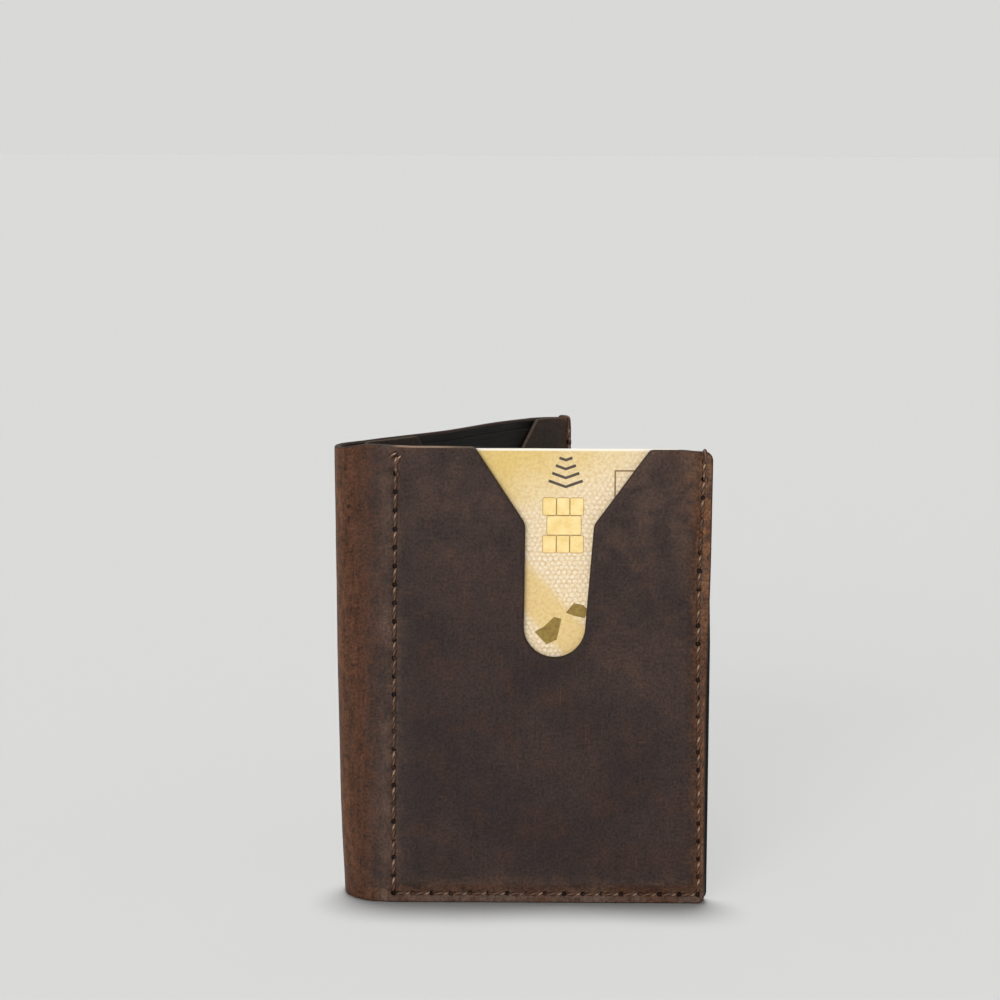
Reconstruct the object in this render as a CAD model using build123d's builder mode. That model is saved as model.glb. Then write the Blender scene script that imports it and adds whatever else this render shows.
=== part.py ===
"""A slim bifold wallet that stands open: leather cover, black lining, card pockets and a payment card.

Millimetres, +Z up. The front panel faces -Y, the spine is on the left, and the back panel runs off
behind it. The origin is the centre of the wallet's footprint, at its bottom edge.
"""

from math import atan, cos, degrees, radians, sin, tan
import os

from build123d import *

# Driving dimensions of the wallet
HEIGHT = 100.0
PANEL_WIDTH = 73.0  # from the spine's curve to the free edge
SPINE_RADIUS = 8.5  # outside of the leather where it turns round the spine
OPEN_ANGLE = 48.0  # between the two panels as it stands
CORNER_RADIUS = 2.0

# Sheet thicknesses
LEATHER = 1.4
LEAF_LEATHER = 1.0
LINING = 0.4

# The fold: hinge lines on the outside of the leather, a quarter of the turn from each panel
TURN = 180.0 - OPEN_ANGLE
FIRST_HINGE = TURN / 4
SECOND_HINGE = TURN * 3 / 4
NOTCH_ANGLE = 14.0  # each side of a hinge line, room for closing by 12 degrees a side

# Seams, measured from the spine's curve and from the bottom edge
SPINE_SEAM = 4.7
EDGE_SEAM = PANEL_WIDTH - 2.3
BOTTOM_SEAM = 2.1
LAYER_START = 3.2  # where the inner layers begin, just outside the spine seam
LAYER_LIFT = 0.3  # inner layers stop this far above the cover's bottom edge
STITCH_PITCH = 4.0
STITCH_LENGTH = 3.0
STITCH_WIDTH = 0.6
STITCH_HEIGHT = 0.35

# The front card pocket: the leather stands proud of its seams to make room for a card
PILLOW = 1.0
PILLOW_LEFT = 5.5
PILLOW_RIGHT = 69.9
PILLOW_BOTTOM = 3.0
BAY_LEFT = 7.0
BAY_RIGHT = 68.4
BAY_BOTTOM = 4.5

# Thumb cut-out: a wide mouth that narrows to a slot with a round end
CUT_CENTRE = 40.7
MOUTH_WIDTH = 37.0
MOUTH_DEPTH = 16.5
SLOT_WIDTH = 14.2
CUT_DEPTH = 45.6
CUT_SOFTENING = 3.0

# Payment card, in portrait, and its contact plate
CARD_WIDTH = 54.0
CARD_LENGTH = 85.6
CARD_THICKNESS = 0.76
CARD_CORNER = 3.18
CARD_CENTRE = 41.0
CARD_CLEARANCE = 0.12
CHIP_WIDTH = 8.6
CHIP_LENGTH = 11.8
CHIP_THICKNESS = 0.1
CHIP_CORNER = 1.2
CHIP_TOP = 10.6  # from the card's top edge to the chip's top edge

# Inner pockets
UPPER_SLOT_TOP = 88.0
LOWER_SLOT_TOP = 74.0
NOTE_WALL_TOP = 97.8
LINING_LIP = 0.7  # the pocket lining shows beyond the leather's free edge
LIP_TOP = 60.0
LIP_FADE = 75.0

# Where the pieces lie: the spine's centre of curvature is at (SPINE_RADIUS, SPINE_RADIUS) from the
# wallet's leftmost point and the front seam plane
BACK_START_X = SPINE_RADIUS * (1 - sin(radians(TURN)))
BACK_START_Y = SPINE_RADIUS * (1 - cos(radians(TURN)))
BACK_END_Y = BACK_START_Y + PANEL_WIDTH * sin(radians(OPEN_ANGLE))
MIDDLE_X = (SPINE_RADIUS + PANEL_WIDTH + LINING_LIP) / 2
MIDDLE_Y = (BACK_END_Y - PILLOW) / 2

plan = Plane((-MIDDLE_X, -MIDDLE_Y, 0))
spine_plan = Plane((SPINE_RADIUS - MIDDLE_X, SPINE_RADIUS - MIDDLE_Y, 0))
# Each panel's plane lies on its outer face: x towards the free edge, y up. INTO_FRONT and INTO_BACK
# turn a depth below that face into an offset along the plane's normal.
front_face = Plane((SPINE_RADIUS - MIDDLE_X, -MIDDLE_Y, 0), x_dir=(1, 0, 0), z_dir=(0, -1, 0))
back_face = Plane(
    (BACK_START_X - MIDDLE_X, BACK_START_Y - MIDDLE_Y, 0),
    x_dir=(cos(radians(OPEN_ANGLE)), sin(radians(OPEN_ANGLE)), 0),
    z_dir=(sin(radians(OPEN_ANGLE)), -cos(radians(OPEN_ANGLE)), 0),
)
INTO_FRONT = -1
INTO_BACK = 1


def notch(depth):
    """How many degrees of the spine's turn a layer gives up at a hinge line, at a depth below the leather."""
    return degrees(atan(depth * tan(radians(NOTCH_ANGLE)) / (SPINE_RADIUS - depth)))


def turn_point(radius, turn):
    """A point round the spine's centre, by how far the spine has turned from the front panel."""
    return (-radius * sin(radians(turn)), -radius * cos(radians(turn)))


def spine_strip(shallow, deep, first, last, cut_first, cut_last):
    """The plan of a strip round the spine between two depths; a cut end follows the hinge's notch."""
    outside, inside = SPINE_RADIUS - shallow, SPINE_RADIUS - deep
    out_first = first + cut_first * notch(shallow)
    out_last = last - cut_last * notch(shallow)
    in_first = first + cut_first * notch(deep)
    in_last = last - cut_last * notch(deep)
    corners = [
        turn_point(outside, out_first),
        turn_point(outside, out_last),
        turn_point(inside, in_last),
        turn_point(inside, in_first),
    ]
    with BuildSketch() as strip:
        with BuildLine():
            ThreePointArc(corners[0], turn_point(outside, (out_first + out_last) / 2), corners[1])
            Line(corners[1], corners[2])
            ThreePointArc(corners[2], turn_point(inside, (in_first + in_last) / 2), corners[3])
            Line(corners[3], corners[0])
        make_face()
    return strip.sketch


def panel_outline(left, right, bottom, top):
    """A panel with its two free corners rounded."""
    with BuildSketch() as outline:
        with Locations(((left + right) / 2, (bottom + top) / 2)):
            Rectangle(right - left, top - bottom)
        fillet(outline.vertices().group_by(Axis.X)[-1], CORNER_RADIUS)
    return outline.sketch


def thumb_cut():
    """The funnel-shaped cut, open past the top edge."""
    slot, mouth = SLOT_WIDTH / 2, MOUTH_WIDTH / 2
    shoulder = HEIGHT - MOUTH_DEPTH
    slot_end = HEIGHT - CUT_DEPTH + slot
    above = HEIGHT + MOUTH_DEPTH
    flare = 2 * mouth - slot  # the slanted sides carried on as far above the edge
    with BuildSketch() as cut:
        with BuildLine():
            FilletPolyline(
                (CUT_CENTRE - flare, above),
                (CUT_CENTRE - slot, shoulder),
                (CUT_CENTRE - slot, slot_end),
                radius=CUT_SOFTENING,
            )
            ThreePointArc(
                (CUT_CENTRE - slot, slot_end),
                (CUT_CENTRE, slot_end - slot),
                (CUT_CENTRE + slot, slot_end),
            )
            FilletPolyline(
                (CUT_CENTRE + slot, slot_end),
                (CUT_CENTRE + slot, shoulder),
                (CUT_CENTRE + flare, above),
                radius=CUT_SOFTENING,
            )
            Line((CUT_CENTRE + flare, above), (CUT_CENTRE - flare, above))
        make_face()
    return cut.sketch


def layer(label, face, into, depth, thickness, outline, cut=None):
    """One flat sheet of a panel, a depth below the panel's outer face."""
    with BuildPart() as sheet:
        with BuildSketch(face.offset(into * depth)):
            add(outline)
            if cut is not None:
                add(cut, mode=Mode.SUBTRACT)
        extrude(amount=into * thickness)
    sheet.part.label = label
    return sheet.part


def seam_places():
    """Centre and direction of each stitch: up the spine seam, along the bottom, up the free edge."""
    rises = [BOTTOM_SEAM + STITCH_PITCH * (i + 0.5) for i in range(24)]
    run = EDGE_SEAM - SPINE_SEAM
    count = round(run / STITCH_PITCH)
    along = [SPINE_SEAM + run * (i + 0.5) / count for i in range(count)]
    sides = [(x, y, 90) for x in (SPINE_SEAM, EDGE_SEAM) for y in rises]
    return sides + [(x, BOTTOM_SEAM, 0) for x in along]


def thread(label, face, steps):
    """The stitches on one side of a seam. steps lists the faces that they lie on, as lowest height,
    highest height and the plane's offset, and the way out of the leather along the plane."""
    with BuildPart() as stitches:
        for low, high, offset, outward in steps:
            with BuildSketch(face.offset(offset)):
                for x, y, angle in seam_places():
                    if low <= y < high:
                        with Locations(Location((x, y, 0), (0, 0, angle))):
                            SlotOverall(STITCH_LENGTH, STITCH_WIDTH)
            extrude(amount=outward * STITCH_HEIGHT)
    stitches.part.label = label
    return stitches.part


# Front panel of the cover, with the first quarter of the spine's turn
with BuildPart() as front_cover:
    with BuildSketch(spine_plan):
        add(spine_strip(0, LEATHER, 0, FIRST_HINGE, 0, 1))
        with Locations((PANEL_WIDTH / 2, LEATHER / 2 - SPINE_RADIUS)):
            Rectangle(PANEL_WIDTH, LEATHER)
    extrude(amount=HEIGHT)
    free_corners = front_cover.edges().filter_by(Axis.Y).group_by(Axis.X)[-1]
    fillet(free_corners, CORNER_RADIUS)
    with BuildSketch(front_face):
        pillow_middle = (PILLOW_BOTTOM + HEIGHT + 2 * PILLOW) / 2
        with Locations(((PILLOW_LEFT + PILLOW_RIGHT) / 2, pillow_middle)):
            Rectangle(PILLOW_RIGHT - PILLOW_LEFT, HEIGHT + 2 * PILLOW - PILLOW_BOTTOM)
    extrude(amount=PILLOW, taper=45)
    with BuildSketch(Plane.XY.offset(HEIGHT)):
        Rectangle(2 * PANEL_WIDTH + 4 * SPINE_RADIUS, 2 * PANEL_WIDTH)
    extrude(amount=3 * PILLOW, mode=Mode.SUBTRACT)
    with BuildSketch(front_face.offset(INTO_FRONT * LEATHER)):
        with Locations(((BAY_LEFT + BAY_RIGHT) / 2, (BAY_BOTTOM + HEIGHT) / 2)):
            Rectangle(BAY_RIGHT - BAY_LEFT, HEIGHT - BAY_BOTTOM)
    extrude(amount=PILLOW, mode=Mode.SUBTRACT)
    with BuildSketch(front_face):
        add(thumb_cut())
    extrude(amount=2 * LEATHER, both=True, mode=Mode.SUBTRACT)
front_cover.part.label = "front_cover"

# Middle of the spine
with BuildPart() as spine_cover:
    with BuildSketch(spine_plan):
        add(spine_strip(0, LEATHER, FIRST_HINGE, SECOND_HINGE, 1, 1))
    extrude(amount=HEIGHT)
spine_cover.part.label = "spine_cover"

with BuildPart() as spine_lining:
    with BuildSketch(spine_plan.offset(LAYER_LIFT)):
        add(spine_strip(LEATHER, LEATHER + LINING, FIRST_HINGE, SECOND_HINGE, 1, 1))
    extrude(amount=HEIGHT - 2 * LAYER_LIFT)
spine_lining.part.label = "spine_lining"

# Back panel of the cover, with the last quarter of the spine's turn
with BuildPart() as back_cover:
    with BuildSketch(spine_plan):
        add(spine_strip(0, LEATHER, SECOND_HINGE, TURN, 1, 0))
    extrude(amount=HEIGHT)
    with BuildSketch(back_face):
        add(panel_outline(0, PANEL_WIDTH, 0, HEIGHT))
    extrude(amount=INTO_BACK * LEATHER)
back_cover.part.label = "back_cover"

# Front panel's layers, from the leather inwards
LAYER_TOP = HEIGHT - LAYER_LIFT
with BuildSketch() as lipped_outline:
    with BuildLine():
        Polyline(
            (LAYER_START, LAYER_LIFT),
            (PANEL_WIDTH + LINING_LIP, LAYER_LIFT),
            (PANEL_WIDTH + LINING_LIP, LIP_TOP),
            (PANEL_WIDTH - LAYER_LIFT, LIP_FADE),
            (PANEL_WIDTH - LAYER_LIFT, LAYER_TOP),
            (LAYER_START, LAYER_TOP),
            close=True,
        )
    make_face()
    fillet(lipped_outline.vertices().group_by(Axis.X)[-1], CORNER_RADIUS)
front_pocket_lining = layer(
    "front_pocket_lining", front_face, INTO_FRONT, LEATHER, LINING, lipped_outline.sketch
)
inner_right = PANEL_WIDTH - LAYER_LIFT
slot_depth = LEATHER + LINING
front_slot_backing = layer(
    "front_slot_backing", front_face, INTO_FRONT, slot_depth, LINING,
    panel_outline(LAYER_START, inner_right, LAYER_LIFT, LAYER_TOP),
)
upper_depth = slot_depth + LINING
front_upper_slot = layer(
    "front_upper_slot", front_face, INTO_FRONT, upper_depth, LEAF_LEATHER,
    panel_outline(LAYER_START, inner_right, LAYER_LIFT, UPPER_SLOT_TOP),
)
lower_depth = upper_depth + LEAF_LEATHER
front_lower_slot = layer(
    "front_lower_slot", front_face, INTO_FRONT, lower_depth, LEAF_LEATHER,
    panel_outline(LAYER_START, inner_right, LAYER_LIFT, LOWER_SLOT_TOP),
)
front_inner_face = lower_depth + LEAF_LEATHER

# Back panel's layers, from the leather inwards
back_lining = layer(
    "back_lining", back_face, INTO_BACK, LEATHER, LINING,
    panel_outline(LAYER_START, inner_right, LAYER_LIFT, LAYER_TOP),
)
note_pocket_wall = layer(
    "note_pocket_wall", back_face, INTO_BACK, LEATHER + LINING, LINING,
    panel_outline(LAYER_START, inner_right, LAYER_LIFT, NOTE_WALL_TOP),
)
leaf_depth = LEATHER + 2 * LINING
back_pocket_leaf = layer(
    "back_pocket_leaf", back_face, INTO_BACK, leaf_depth, LEAF_LEATHER,
    panel_outline(LAYER_START, PANEL_WIDTH, LAYER_LIFT, HEIGHT), thumb_cut(),
)
back_inner_face = leaf_depth + LEAF_LEATHER

# Each panel's seam has a thread on the outside and one on the inside
front_outer_thread = thread("front_outer_thread", front_face, [(0, HEIGHT, 0, -INTO_FRONT)])
front_inner_thread = thread(
    "front_inner_thread",
    front_face,
    [
        (0, LOWER_SLOT_TOP - STITCH_LENGTH / 2, INTO_FRONT * front_inner_face, INTO_FRONT),
        (LOWER_SLOT_TOP + STITCH_LENGTH / 2, UPPER_SLOT_TOP - STITCH_LENGTH / 2,
         INTO_FRONT * lower_depth, INTO_FRONT),
        (UPPER_SLOT_TOP + STITCH_LENGTH / 2, HEIGHT, INTO_FRONT * upper_depth, INTO_FRONT),
    ],
)
back_outer_thread = thread("back_outer_thread", back_face, [(0, HEIGHT, 0, -INTO_BACK)])
back_inner_thread = thread(
    "back_inner_thread", back_face, [(0, HEIGHT, INTO_BACK * back_inner_face, INTO_BACK)]
)

# Payment card in the front pocket, its top edge level with the leather
CARD_FACE = LEATHER - PILLOW + CARD_CLEARANCE
chip_middle = HEIGHT - CHIP_TOP - CHIP_LENGTH / 2
with BuildPart() as payment_card:
    with BuildSketch(front_face.offset(INTO_FRONT * CARD_FACE)):
        with Locations((CARD_CENTRE, HEIGHT - CARD_LENGTH / 2)):
            RectangleRounded(CARD_WIDTH, CARD_LENGTH, CARD_CORNER)
    extrude(amount=INTO_FRONT * CARD_THICKNESS)
    with BuildSketch(front_face.offset(INTO_FRONT * CARD_FACE)):
        with Locations((CARD_CENTRE, chip_middle)):
            RectangleRounded(CHIP_WIDTH, CHIP_LENGTH, CHIP_CORNER)
    extrude(amount=INTO_FRONT * CHIP_THICKNESS, mode=Mode.SUBTRACT)
payment_card.part.label = "payment_card"

with BuildPart() as card_chip:
    with BuildSketch(front_face.offset(INTO_FRONT * CARD_FACE)):
        with Locations((CARD_CENTRE, chip_middle)):
            RectangleRounded(CHIP_WIDTH, CHIP_LENGTH, CHIP_CORNER)
    extrude(amount=INTO_FRONT * CHIP_THICKNESS)
card_chip.part.label = "card_chip"

pieces = [
    front_cover.part, front_pocket_lining, front_slot_backing, front_upper_slot, front_lower_slot,
    front_outer_thread, front_inner_thread, payment_card.part, card_chip.part,
    spine_cover.part, spine_lining.part,
    back_cover.part, back_lining, note_pocket_wall, back_pocket_leaf,
    back_outer_thread, back_inner_thread,
]
os.makedirs("parts", exist_ok=True)
for piece in pieces:
    export_step(piece, f"parts/{piece.label}.step")
whole = Compound(children=pieces).bounding_box()
print("box", whole.min, whole.max)
for name, turn in (("first hinge", FIRST_HINGE), ("second hinge", SECOND_HINGE)):
    x, y = turn_point(SPINE_RADIUS, turn)
    print(name, round(x + SPINE_RADIUS - MIDDLE_X, 4), round(y + SPINE_RADIUS - MIDDLE_Y, 4))
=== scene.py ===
"""A slim bifold wallet in waxed pull-up leather, standing open on a pale floor.

Everything is laid out on the developed (unrolled) wallet: a point is its distance from the middle of
the spine, its height, and its depth below the leather's outer face. lay() bends that onto the wallet
as it stands. Metres throughout.
"""

from math import cos, pi, radians, sin, sqrt, tan

import bpy
import numpy as np
from mathutils import Matrix, Vector, geometry


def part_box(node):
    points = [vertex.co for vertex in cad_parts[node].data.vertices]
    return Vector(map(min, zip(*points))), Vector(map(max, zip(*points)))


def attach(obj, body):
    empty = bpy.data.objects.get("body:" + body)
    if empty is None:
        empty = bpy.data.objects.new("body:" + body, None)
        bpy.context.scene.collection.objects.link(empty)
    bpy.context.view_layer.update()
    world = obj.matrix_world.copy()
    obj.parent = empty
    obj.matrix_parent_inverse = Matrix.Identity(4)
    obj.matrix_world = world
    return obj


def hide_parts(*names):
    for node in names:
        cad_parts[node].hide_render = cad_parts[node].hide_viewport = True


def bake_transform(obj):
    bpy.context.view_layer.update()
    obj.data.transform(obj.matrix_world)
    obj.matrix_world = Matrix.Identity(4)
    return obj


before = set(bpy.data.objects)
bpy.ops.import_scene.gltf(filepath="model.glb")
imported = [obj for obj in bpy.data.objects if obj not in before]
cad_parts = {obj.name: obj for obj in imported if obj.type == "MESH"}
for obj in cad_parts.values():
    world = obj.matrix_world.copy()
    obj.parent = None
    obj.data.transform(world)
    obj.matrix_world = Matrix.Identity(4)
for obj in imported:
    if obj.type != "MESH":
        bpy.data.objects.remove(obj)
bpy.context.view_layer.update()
MM = 0.001
random = np.random.default_rng(41)

# -------- sizes, from the frame and the design
SPINE_RADIUS = 8.5 * MM
OPEN_ANGLE = radians(48)
LEATHER = 1.4 * MM
LEAF = 1.0 * MM
LINING = 0.4 * MM
PILLOW = 1.0 * MM  # how far the front pocket's leather stands proud of its seams
BACK_PILLOW = 0.35 * MM
LAYER_START = 3.2 * MM
SPINE_SEAM = 4.7 * MM
BOTTOM_SEAM = 2.1 * MM
SEAM_INSET = 2.3 * MM
PITCH = 4.0 * MM

cover_low, cover_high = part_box("front_cover")
card_low, card_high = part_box("payment_card")
chip_low, chip_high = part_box("card_chip")
HEIGHT = cover_high.z
CENTRE_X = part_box("spine_cover")[0].x + SPINE_RADIUS
SEAM_PLANE = cover_low.y + PILLOW
CENTRE_Y = SEAM_PLANE + SPINE_RADIUS
PANEL = cover_high.x - CENTRE_X
HALF_TURN = (pi - OPEN_ANGLE) / 2
ARC = SPINE_RADIUS * HALF_TURN
FREE_EDGE = ARC + PANEL
FOLD_EDGE = ARC + LAYER_START  # where the inner layers begin
EDGE_SEAM = PANEL - SEAM_INSET
CUT_CENTRE = 40.7 * MM
MOUTH = 37.0 * MM
MOUTH_DEPTH = 16.5 * MM
SLOT = 14.7 * MM
SLOT_FOOT = 13.2 * MM
CUT_DEPTH = 45.2 * MM
CUT_LEAN = 1.5 * MM  # how far the thumb slot strays towards the spine on its way down
LEAF_CUT_CENTRE = 39.2 * MM
LEAF_MOUTH = 40.2 * MM
CORNER = 2.0 * MM
FRONT, BACK = 1, -1
SIDES = ((FRONT, "front"), (BACK, "back"))


# -------- the wallet as it stands
def smooth(x):
    x = np.clip(x, 0, 1)
    return x * x * (3 - 2 * x)


def ramp(x, start, length):
    """0 to 1, smoothly, over a length from a start, both in millimetres; a negative length runs back."""
    return smooth((x / MM - start) / length)


def near(x, width):
    """1 at zero, falling away like a bell over a width in millimetres."""
    return np.exp(-((x / (width * MM)) ** 2))


def make_waves(count, shortest, longest, seed):
    """A gentle uneven surface: the sum of a few slanted waves."""
    r = np.random.default_rng(seed)
    length = r.uniform(shortest, longest, count)
    heading = r.uniform(0, pi, count)
    return np.cos(heading) / length, np.sin(heading) / length, r.uniform(0, 2 * pi, count)


def wave_height(waves, s, z):
    total = 0
    for across, up, phase in zip(*waves):
        total = total + np.sin(2 * pi * (across * s + up * z) + phase)
    return total / len(waves[0])


SWELLS = make_waves(6, 24 * MM, 60 * MM, 3)
RIPPLES = make_waves(9, 5 * MM, 14 * MM, 4)
RISES = BOTTOM_SEAM + PITCH * np.arange(25)  # heights of the holes up each side seam
RUN_COUNT = round((EDGE_SEAM - SPINE_SEAM) / PITCH)
RUNS = SPINE_SEAM + (EDGE_SEAM - SPINE_SEAM) * np.arange(RUN_COUNT + 1) / RUN_COUNT


def spine_lean(s, z):
    """The spine pulls in towards its foot, where the fold is pinched."""
    share = 1 - z / HEIGHT
    pinch = 1.5 * share**1.6 + 0.385 * near(z, 9)
    return -pinch * MM * smooth(1 - (s - 2 * MM) / (ARC + 3 * MM))


# creases round the spine: distance from its middle, width and depth in millimetres, and phase
CREASES = ((2.2, 0.7, 0.10, 0.3), (-3.1, 0.8, 0.12, 1.9), (5.6, 0.9, 0.09, 4.0), (-6.8, 0.8, 0.08, 2.6))


def spine_creases(side, s, z):
    """Shallow upright creases round the bend."""
    total = 0
    for place, width, deep, phase in CREASES:
        wander = 0.8 * np.sin(z / (17 * MM) + phase) + 0.3 * np.sin(z / (6 * MM) + 2 * phase)
        amount = 0.45 + 0.55 * np.sin(z / (23 * MM) + 3 * phase)
        total = total - deep * amount * near(side * s - (place + wander) * MM, width)
    return total * MM * ramp(s - ARC, 2, -2)


GROOVE, HOLE_PULL = 0.20, 0.10  # millimetres: a seam's depth, and how much more it is at each hole


def seam_groove(x, z):
    """The seams pull the leather down, most of all at each hole."""
    pull = GROOVE + HOLE_PULL * np.cos(2 * pi * (z - BOTTOM_SEAM) / PITCH)
    sides = near(x - SPINE_SEAM, 0.75) + near(x - EDGE_SEAM, 0.75)
    groove = pull * sides * ramp(z - BOTTOM_SEAM, -1, 1)
    pull = GROOVE + HOLE_PULL * np.cos(2 * pi * (x - RUNS[0]) / (RUNS[1] - RUNS[0]))
    within = ramp(x - SPINE_SEAM, -1, 1) * ramp(EDGE_SEAM - x, -1, 1)
    return -(groove + pull * near(z - BOTTOM_SEAM, 0.7) * within) * MM


def front_creep(x, z):
    """The sewn edges aren't straight: how far the front leather strays along its panel."""
    row = 0.95 * ramp(z, 66, 40) + 0.85 * ramp(z, 66, -60) - 0.48
    edge = 0.3 * ramp(z, 14, -14) - 0.8 * ramp(z, 80, -42) - 0.15
    beyond = np.clip((x - EDGE_SEAM) / SEAM_INSET, 0, 1)
    right = (row + (edge - row) * beyond) * ramp(x, 56, 12)
    left = (0.7 * (z / HEIGHT) ** 1.6 - 0.2) * near(x - SPINE_SEAM, 5)
    return (left + right) * MM


def cover_relief(side, s, z):
    """How far the cover's leather stands out of its flat panel or round spine, and strays along it."""
    x = s - ARC
    waves = 0.10 * wave_height(SWELLS, side * s, z) + 0.035 * wave_height(RIPPLES, side * s, z)
    height = waves * MM + spine_lean(s, z) + spine_creases(side, s, z)
    if side == FRONT:
        across = ramp(x - SPINE_SEAM, 0.3, 4.2) * ramp(EDGE_SEAM - x, 0.5, 2.0)
        height = height + PILLOW * across * ramp(z - BOTTOM_SEAM, 0.2, 2.4)
    else:
        across = ramp(x - SPINE_SEAM, 0, 6) * ramp(EDGE_SEAM - x, 0, 5)
        height = height + BACK_PILLOW * across * ramp(z - BOTTOM_SEAM, 0, 6)
    edge_roll = 0.10 * MM * near(x - EDGE_SEAM - 1.2 * MM, 0.8)
    return height + seam_groove(x, z) + edge_roll, front_creep(x, z) if side == FRONT else 0 * x


def plain_relief(side, s, z):
    return spine_lean(s, z), 0 * s


def leaf_relief(side, s, z):
    """An inner leather leaf: a little slack between its seams, pulled down along them."""
    x = s - ARC
    slack = 0.25 * ramp(x - SPINE_SEAM, 0, 7) * ramp(EDGE_SEAM - x, 0, 7) * ramp(z - BOTTOM_SEAM, 0, 9)
    ripple = 0.04 * wave_height(RIPPLES, side * s + 31 * MM, z)
    return -(slack + ripple) * MM - 0.6 * seam_groove(x, z), 0 * s


def top_drift(side, s):
    """The panels aren't cut dead square: the height's scale at a distance from the spine."""
    x = s - ARC
    if side == FRONT:
        rise = 1.25 * smooth(s / ARC) - 0.35 * ramp(x, 0, 6) - 0.6 * ramp(x, 12, 45) - 0.5 * ramp(x, 66, 6)
    else:
        rise = 0.65 * ramp(x, 28, 24) - 0.6 * ramp(x, 60, 15)
    return 1 + (rise - 0.3) * MM / HEIGHT


def directions(side, s):
    """Outward and along-the-panel directions at a distance from the middle of the spine."""
    turn = HALF_TURN - side * np.minimum(s, ARC) / SPINE_RADIUS
    out = np.stack([-np.sin(turn), -np.cos(turn), np.zeros_like(turn)], 1)
    along = side * np.stack([np.cos(turn), -np.sin(turn), np.zeros_like(turn)], 1)
    return out, along


def lay(side, s, z, depth, relief=None):
    """Points of the developed wallet, bent onto the wallet as it stands."""
    s, z, depth = np.broadcast_arrays(np.asarray(s, float), np.asarray(z, float), np.asarray(depth, float))
    out, along = directions(side, s)
    rise, creep = relief(side, s, z) if relief else (0.0, 0.0)
    s = s + creep
    radius = SPINE_RADIUS - depth + rise
    place = np.array([CENTRE_X, CENTRE_Y, 0.0]) + out * radius[:, None]
    place = place + along * np.maximum(s - ARC, 0)[:, None]
    place[:, 2] = z * top_drift(side, s)
    return place


# -------- outlines on the developed wallet
EDGE_STEP = 0.4 * MM  # between points along an edge
CLEARANCE = 0.28 * MM  # between an edge and the grid inside it


def bend(points, radii):
    """An open path through points with its corners rounded, as evenly spaced points."""
    points = [Vector(p) for p in points]
    path = [points[0]]
    for before, corner, after, radius in zip(points, points[1:], points[2:], radii):
        a, b = (before - corner).normalized(), (after - corner).normalized()
        half = a.angle(b) / 2
        if radius <= 0 or half > pi / 2 - 0.01:
            path.append(corner)
            continue
        cut = radius / tan(half)
        middle = corner + (a + b).normalized() * (radius / sin(half))
        first, last = corner + a * cut - middle, corner + b * cut - middle
        sweep = pi - 2 * half
        turns = max(3, round(sweep * radius / (0.5 * EDGE_STEP)))
        sign = 1 if first.cross(last) > 0 else -1
        for i in range(turns + 1):
            path.append(middle + Matrix.Rotation(sign * sweep * i / turns, 2) @ first)
    path.append(points[-1])
    spaced = [path[0]]
    for a, b in zip(path, path[1:]):
        parts = max(1, round((b - a).length / EDGE_STEP))
        spaced += [a.lerp(b, (i + 1) / parts) for i in range(parts)]
    return np.array(spaced, float)


def thumb_cut(shrink, centre, mouth, lean):
    """The thumb cut-out from its left top corner to its right, with the leather drawn back by shrink."""
    slot, foot, mouth = SLOT / 2 + shrink, SLOT_FOOT / 2 + shrink, mouth / 2 + shrink
    shoulder = HEIGHT - MOUTH_DEPTH
    end = HEIGHT - CUT_DEPTH + SLOT_FOOT / 2
    curve = [(-foot * cos(a), end - foot * sin(a)) for a in np.linspace(0, pi, 45)]
    top = HEIGHT - shrink
    points = [(-mouth, top), (-slot, shoulder), *curve, (slot, shoulder), (mouth, top)]
    return [(ARC + centre + x - lean * float(smooth((HEIGHT - z) / CUT_DEPTH)), z) for x, z in points]


def panel_path(left, right, bottom, top, shrink, cut=None):
    """The edge of a panel from its lower left corner round to its upper left one."""
    points = [(left, bottom + shrink), (right - shrink, bottom + shrink), (right - shrink, top - shrink)]
    radii = [CORNER, CORNER - 0.4 * MM]
    if cut:
        notch = thumb_cut(shrink, *cut)[::-1]
        points += notch
        radii += [0.9 * MM, 3 * MM] + [0.0] * (len(notch) - 4) + [3 * MM, 0.9 * MM]
    points.append((left, top - shrink))
    return bend(points, radii)


def unit(rows):
    return rows / np.linalg.norm(rows, axis=1)[:, None]


def to_the_right(ahead):
    """Unit directions to the right of each heading."""
    ahead = unit(ahead)
    return np.stack([ahead[:, 1], -ahead[:, 0]], 1)


def closed_outside(loop):
    """Directions out of a closed loop that runs anticlockwise."""
    return to_the_right(np.roll(loop, -1, 0) - np.roll(loop, 1, 0))


def inside(points, loop):
    """Which points lie inside a closed loop, by counting crossings."""
    found = np.zeros(len(points), bool)
    for (x0, y0), (x1, y1) in zip(loop, np.roll(loop, -1, 0)):
        if y0 != y1:
            crosses = (points[:, 1] < y0) != (points[:, 1] < y1)
            found ^= crosses & (points[:, 0] < x0 + (points[:, 1] - y0) * (x1 - x0) / (y1 - y0))
    return found


def lines(low, high, step, seams=(), fine=()):
    """Grid lines: evenly spaced, with closer ones beside each seam."""
    near_seam = [seam + sign * f for seam in seams for f in fine for sign in (-1, 1)]
    even = np.linspace(low, high, max(2, round((high - low) / step)) + 1)
    if near_seam:
        even = even[[min(abs(v - seam) for seam in seams) > max(fine) + 0.4 * step for v in even]]
    every = np.unique(np.round(np.concatenate([even, near_seam]), 7))
    return every[(every > low) & (every < high)]


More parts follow.
